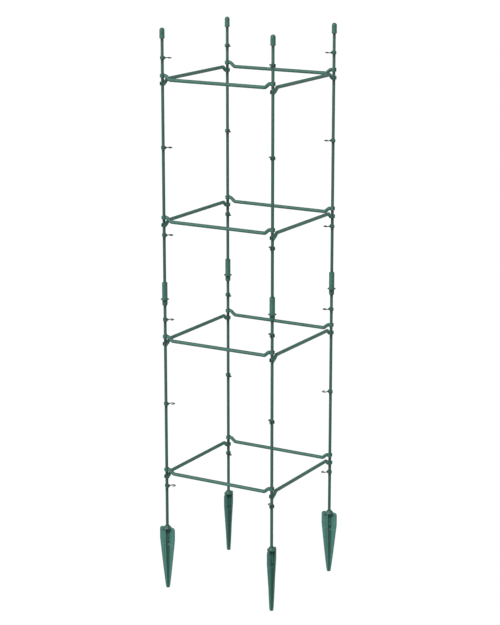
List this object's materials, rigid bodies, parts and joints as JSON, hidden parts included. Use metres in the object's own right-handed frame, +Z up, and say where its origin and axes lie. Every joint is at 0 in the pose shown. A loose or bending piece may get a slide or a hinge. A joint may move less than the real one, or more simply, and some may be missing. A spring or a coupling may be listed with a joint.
{
  "type": "plant support tower",
  "caption": "Square clip-together plant support tower: capped jointed stakes on finned ground spikes, cranked cross bars snapped on in levels, and small swivelling tie hooks.",
  "frame": {"origin": "on the tower's centre line, level with the tips of the ground spikes", "axes": "+Z up along the stakes; +X runs along the front from left to right, and +Y from the front to the back, square to the sides"},
  "size_m": [0.3662, 0.3662, 1.5006],
  "materials": {
    "coated_tube": "satin dark green plastic coating on thin steel tube",
    "moulded_plastic": "fine matt dark green moulded plastic"
  },
  "bodies": {
    "stake_front_left": {"spike_front_left": "moulded_plastic", "lower_stake_front_left": "coated_tube", "coupler_front_left": "moulded_plastic", "upper_stake_front_left": "coated_tube", "cap_front_left": "moulded_plastic"},
    "stake_front_right": {"spike_front_right": "moulded_plastic", "lower_stake_front_right": "coated_tube", "coupler_front_right": "moulded_plastic", "upper_stake_front_right": "coated_tube", "cap_front_right": "moulded_plastic"},
    "stake_back_right": {"spike_back_right": "moulded_plastic", "lower_stake_back_right": "coated_tube", "coupler_back_right": "moulded_plastic", "upper_stake_back_right": "coated_tube", "cap_back_right": "moulded_plastic"},
    "stake_back_left": {"spike_back_left": "moulded_plastic", "lower_stake_back_left": "coated_tube", "coupler_back_left": "moulded_plastic", "upper_stake_back_left": "coated_tube", "cap_back_left": "moulded_plastic"},
    "bars_front": {"bar_front_1": "moulded_plastic", "bar_front_2": "moulded_plastic", "bar_front_3": "moulded_plastic", "bar_front_4": "moulded_plastic"},
    "bars_right": {"bar_right_1": "moulded_plastic", "bar_right_2": "moulded_plastic", "bar_right_3": "moulded_plastic", "bar_right_4": "moulded_plastic"},
    "bars_back": {"bar_back_1": "moulded_plastic", "bar_back_2": "moulded_plastic", "bar_back_3": "moulded_plastic", "bar_back_4": "moulded_plastic"},
    "bars_left": {"bar_left_1": "moulded_plastic", "bar_left_2": "moulded_plastic", "bar_left_3": "moulded_plastic", "bar_left_4": "moulded_plastic"},
    "hook_front_left_1": {"hook_front_left_1": "moulded_plastic"},
    "hook_front_left_2": {"hook_front_left_2": "moulded_plastic"},
    "hook_front_left_3": {"hook_front_left_3": "moulded_plastic"},
    "hook_front_left_4": {"hook_front_left_4": "moulded_plastic"},
    "hook_front_left_5": {"hook_front_left_5": "moulded_plastic"},
    "hook_front_left_6": {"hook_front_left_6": "moulded_plastic"},
    "hook_front_right_1": {"hook_front_right_1": "moulded_plastic"},
    "hook_front_right_2": {"hook_front_right_2": "moulded_plastic"},
    "hook_front_right_3": {"hook_front_right_3": "moulded_plastic"},
    "hook_front_right_4": {"hook_front_right_4": "moulded_plastic"},
    "hook_front_right_5": {"hook_front_right_5": "moulded_plastic"},
    "hook_front_right_6": {"hook_front_right_6": "moulded_plastic"},
    "hook_back_right_1": {"hook_back_right_1": "moulded_plastic"},
    "hook_back_right_2": {"hook_back_right_2": "moulded_plastic"},
    "hook_back_right_3": {"hook_back_right_3": "moulded_plastic"},
    "hook_back_right_4": {"hook_back_right_4": "moulded_plastic"},
    "hook_back_right_5": {"hook_back_right_5": "moulded_plastic"},
    "hook_back_right_6": {"hook_back_right_6": "moulded_plastic"},
    "hook_back_left_1": {"hook_back_left_1": "moulded_plastic"},
    "hook_back_left_2": {"hook_back_left_2": "moulded_plastic"},
    "hook_back_left_3": {"hook_back_left_3": "moulded_plastic"},
    "hook_back_left_4": {"hook_back_left_4": "moulded_plastic"},
    "hook_back_left_5": {"hook_back_left_5": "moulded_plastic"},
    "hook_back_left_6": {"hook_back_left_6": "moulded_plastic"}
  },
  "joints": [
    {"name": "fold", "type": "hinge", "parent": "stake_front_left", "child": "bars_front", "pos_m": [-0.16, -0.16, 0.84715], "axis": [0, 0, 1], "range_deg": [-31.5, 31.5]},
    {"name": "turn_bars_left", "type": "hinge", "parent": "stake_front_left", "child": "bars_left", "pos_m": [-0.16, -0.16, 0.84715], "axis": [0, 0, 1], "range_deg": [-31.5, 31.5]},
    {"name": "turn_stake_front_right", "type": "hinge", "parent": "bars_front", "child": "stake_front_right", "pos_m": [0.16, -0.16, 0.84715], "axis": [0, 0, 1], "range_deg": [-31.5, 31.5]},
    {"name": "turn_bars_right", "type": "hinge", "parent": "bars_front", "child": "bars_right", "pos_m": [0.16, -0.16, 0.84715], "axis": [0, 0, 1], "range_deg": [-63, 63]},
    {"name": "turn_stake_back_right", "type": "hinge", "parent": "bars_right", "child": "stake_back_right", "pos_m": [0.16, 0.16, 0.84715], "axis": [0, 0, 1], "range_deg": [-31.5, 31.5]},
    {"name": "turn_stake_back_left", "type": "hinge", "parent": "bars_left", "child": "stake_back_left", "pos_m": [-0.16, 0.16, 0.84715], "axis": [0, 0, 1], "range_deg": [-31.5, 31.5]},
    {"name": "turn_bars_back", "type": "hinge", "parent": "bars_left", "child": "bars_back", "pos_m": [-0.16, 0.16, 0.84715], "axis": [0, 0, 1], "range_deg": [-63, 63]},
    {"name": "swivel_front_left_1", "type": "hinge", "parent": "stake_front_left", "child": "hook_front_left_1", "pos_m": [-0.16, -0.16, 1.4244], "axis": [0, 0, 1], "continuous": true},
    {"name": "swivel_front_left_2", "type": "hinge", "parent": "stake_front_left", "child": "hook_front_left_2", "pos_m": [-0.16, -0.16, 1.19605], "axis": [0, 0, 1], "continuous": true},
    {"name": "swivel_front_left_3", "type": "hinge", "parent": "stake_front_left", "child": "hook_front_left_3", "pos_m": [-0.16, -0.16, 0.9685], "axis": [0, 0, 1], "continuous": true},
    {"name": "swivel_front_left_4", "type": "hinge", "parent": "stake_front_left", "child": "hook_front_left_4", "pos_m": [-0.16, -0.16, 0.7438], "axis": [0, 0, 1], "continuous": true},
    {"name": "swivel_front_left_5", "type": "hinge", "parent": "stake_front_left", "child": "hook_front_left_5", "pos_m": [-0.16, -0.16, 0.51545], "axis": [0, 0, 1], "continuous": true},
    {"name": "swivel_front_left_6", "type": "hinge", "parent": "stake_front_left", "child": "hook_front_left_6", "pos_m": [-0.16, -0.16, 0.2879], "axis": [0, 0, 1], "continuous": true},
    {"name": "swivel_front_right_1", "type": "hinge", "parent": "stake_front_right", "child": "hook_front_right_1", "pos_m": [0.16, -0.16, 1.4244], "axis": [0, 0, 1], "continuous": true},
    {"name": "swivel_front_right_2", "type": "hinge", "parent": "stake_front_right", "child": "hook_front_right_2", "pos_m": [0.16, -0.16, 1.19605], "axis": [0, 0, 1], "continuous": true},
    {"name": "swivel_front_right_3", "type": "hinge", "parent": "stake_front_right", "child": "hook_front_right_3", "pos_m": [0.16, -0.16, 0.9685], "axis": [0, 0, 1], "continuous": true},
    {"name": "swivel_front_right_4", "type": "hinge", "parent": "stake_front_right", "child": "hook_front_right_4", "pos_m": [0.16, -0.16, 0.7438], "axis": [0, 0, 1], "continuous": true},
    {"name": "swivel_front_right_5", "type": "hinge", "parent": "stake_front_right", "child": "hook_front_right_5", "pos_m": [0.16, -0.16, 0.51545], "axis": [0, 0, 1], "continuous": true},
    {"name": "swivel_front_right_6", "type": "hinge", "parent": "stake_front_right", "child": "hook_front_right_6", "pos_m": [0.16, -0.16, 0.2879], "axis": [0, 0, 1], "continuous": true},
    {"name": "swivel_back_right_1", "type": "hinge", "parent": "stake_back_right", "child": "hook_back_right_1", "pos_m": [0.16, 0.16, 1.4244], "axis": [0, 0, 1], "continuous": true},
    {"name": "swivel_back_right_2", "type": "hinge", "parent": "stake_back_right", "child": "hook_back_right_2", "pos_m": [0.16, 0.16, 1.19605], "axis": [0, 0, 1], "continuous": true},
    {"name": "swivel_back_right_3", "type": "hinge", "parent": "stake_back_right", "child": "hook_back_right_3", "pos_m": [0.16, 0.16, 0.9685], "axis": [0, 0, 1], "continuous": true},
    {"name": "swivel_back_right_4", "type": "hinge", "parent": "stake_back_right", "child": "hook_back_right_4", "pos_m": [0.16, 0.16, 0.7438], "axis": [0, 0, 1], "continuous": true},
    {"name": "swivel_back_right_5", "type": "hinge", "parent": "stake_back_right", "child": "hook_back_right_5", "pos_m": [0.16, 0.16, 0.51545], "axis": [0, 0, 1], "continuous": true},
    {"name": "swivel_back_right_6", "type": "hinge", "parent": "stake_back_right", "child": "hook_back_right_6", "pos_m": [0.16, 0.16, 0.2879], "axis": [0, 0, 1], "continuous": true},
    {"name": "swivel_back_left_1", "type": "hinge", "parent": "stake_back_left", "child": "hook_back_left_1", "pos_m": [-0.16, 0.16, 1.4244], "axis": [0, 0, 1], "continuous": true},
    {"name": "swivel_back_left_2", "type": "hinge", "parent": "stake_back_left", "child": "hook_back_left_2", "pos_m": [-0.16, 0.16, 1.19605], "axis": [0, 0, 1], "continuous": true},
    {"name": "swivel_back_left_3", "type": "hinge", "parent": "stake_back_left", "child": "hook_back_left_3", "pos_m": [-0.16, 0.16, 0.9685], "axis": [0, 0, 1], "continuous": true},
    {"name": "swivel_back_left_4", "type": "hinge", "parent": "stake_back_left", "child": "hook_back_left_4", "pos_m": [-0.16, 0.16, 0.7438], "axis": [0, 0, 1], "continuous": true},
    {"name": "swivel_back_left_5", "type": "hinge", "parent": "stake_back_left", "child": "hook_back_left_5", "pos_m": [-0.16, 0.16, 0.51545], "axis": [0, 0, 1], "continuous": true},
    {"name": "swivel_back_left_6", "type": "hinge", "parent": "stake_back_left", "child": "hook_back_left_6", "pos_m": [-0.16, 0.16, 0.2879], "axis": [0, 0, 1], "continuous": true}
  ],
  "couplings": [
    {"joint": "turn_bars_left", "follows": "fold", "ratio": -1},
    {"joint": "turn_stake_front_right", "follows": "fold", "ratio": -1},
    {"joint": "turn_bars_right", "follows": "fold", "ratio": -2},
    {"joint": "turn_stake_back_right", "follows": "fold", "ratio": 1},
    {"joint": "turn_stake_back_left", "follows": "fold", "ratio": 1},
    {"joint": "turn_bars_back", "follows": "fold", "ratio": 2}
  ]
}
